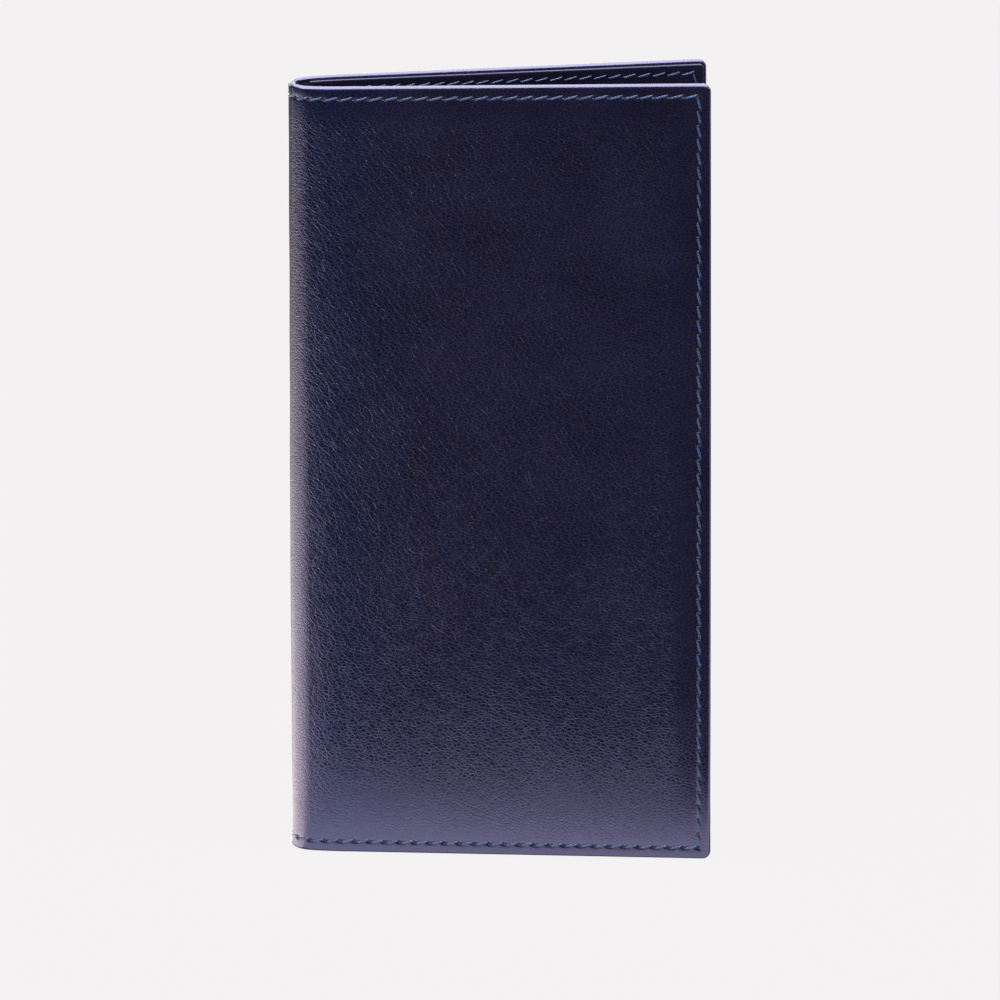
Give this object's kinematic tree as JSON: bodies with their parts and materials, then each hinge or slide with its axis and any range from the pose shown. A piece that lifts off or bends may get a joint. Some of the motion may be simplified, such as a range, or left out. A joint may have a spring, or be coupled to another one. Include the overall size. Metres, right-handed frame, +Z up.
{
  "type": "long wallet",
  "caption": "Book-fold long wallet in stiffened grained leather with card pockets on one side and full-length note pockets on the other, stood slightly open.",
  "frame": {"origin": "bottom centre of the bounding box, on the plane that the wallet stands on", "axes": "+Z up along the spine and the long side; +X from the spine towards the free side edges; the covers open by equal angles to either side of the XZ plane, the back cover on the +Y side and the front cover on the -Y side"},
  "size_m": [0.0948, 0.0176, 0.185],
  "materials": {
    "cover_leather": "glossy pebbled grain, painted edge",
    "inner_leather": "satin fine grain, creased edge line",
    "pocket_tongue_leather": "thin skived suede side",
    "lining_fabric": "fine plain weave",
    "stiffener_board": "bonded fibre board",
    "spine_tape": "woven reinforcement tape",
    "sewing_thread": "twisted glossy polyester thread"
  },
  "bodies": {
    "back_cover": {"back_cover_leather": "cover_leather", "back_board": "stiffener_board", "back_lining": "lining_fabric", "card_backing_panel": "inner_leather", "card_tongue_1": "pocket_tongue_leather", "card_tongue_2": "pocket_tongue_leather", "card_tongue_3": "pocket_tongue_leather", "card_tongue_4": "pocket_tongue_leather", "card_tongue_5": "pocket_tongue_leather", "card_tongue_6": "pocket_tongue_leather", "card_tongue_7": "pocket_tongue_leather", "card_tongue_8": "pocket_tongue_leather", "card_facing_1": "inner_leather", "card_facing_2": "inner_leather", "card_facing_3": "inner_leather", "card_facing_4": "inner_leather", "card_facing_5": "inner_leather", "card_facing_6": "inner_leather", "card_facing_7": "inner_leather", "card_facing_8": "inner_leather", "pocket_base_threads": "sewing_thread", "card_panel_side_thread": "sewing_thread", "back_seam_thread": "sewing_thread"},
    "spine_back": {"spine_leather_back": "cover_leather", "spine_tape_back": "spine_tape", "spine_lining_back": "lining_fabric", "spine_thread_back": "sewing_thread"},
    "spine_middle": {"spine_leather_middle": "cover_leather", "spine_tape_middle": "spine_tape", "spine_lining_middle": "lining_fabric", "spine_thread_middle": "sewing_thread"},
    "spine_front": {"spine_leather_front": "cover_leather", "spine_tape_front": "spine_tape", "spine_lining_front": "lining_fabric", "spine_thread_front": "sewing_thread"},
    "front_cover": {"front_cover_leather": "cover_leather", "front_board": "stiffener_board", "front_lining": "lining_fabric", "note_pocket_panel": "inner_leather", "receipt_pocket_panel": "inner_leather", "front_seam_thread": "sewing_thread"}
  },
  "joints": [
    {"name": "cover_opening", "type": "hinge", "parent": "spine_back", "child": "back_cover", "pos_m": [-0.04503, 0.00428, 0], "axis": [0, 0, 1], "range_deg": [-1.4, 43.6]},
    {"name": "spine_fold_back", "type": "hinge", "parent": "spine_middle", "child": "spine_back", "pos_m": [-0.04744, 0.00175, 0], "axis": [0, 0, 1], "range_deg": [-1.4, 43.6]},
    {"name": "spine_fold_front", "type": "hinge", "parent": "spine_middle", "child": "spine_front", "pos_m": [-0.04744, -0.00175, 0], "axis": [0, 0, -1], "range_deg": [-1.4, 43.6]},
    {"name": "front_cover_fold", "type": "hinge", "parent": "spine_front", "child": "front_cover", "pos_m": [-0.04503, -0.00428, 0], "axis": [0, 0, -1], "range_deg": [-1.4, 43.6]}
  ],
  "couplings": [
    {"joint": "spine_fold_back", "follows": "cover_opening", "ratio": 1},
    {"joint": "spine_fold_front", "follows": "cover_opening", "ratio": 1},
    {"joint": "front_cover_fold", "follows": "cover_opening", "ratio": 1}
  ]
}
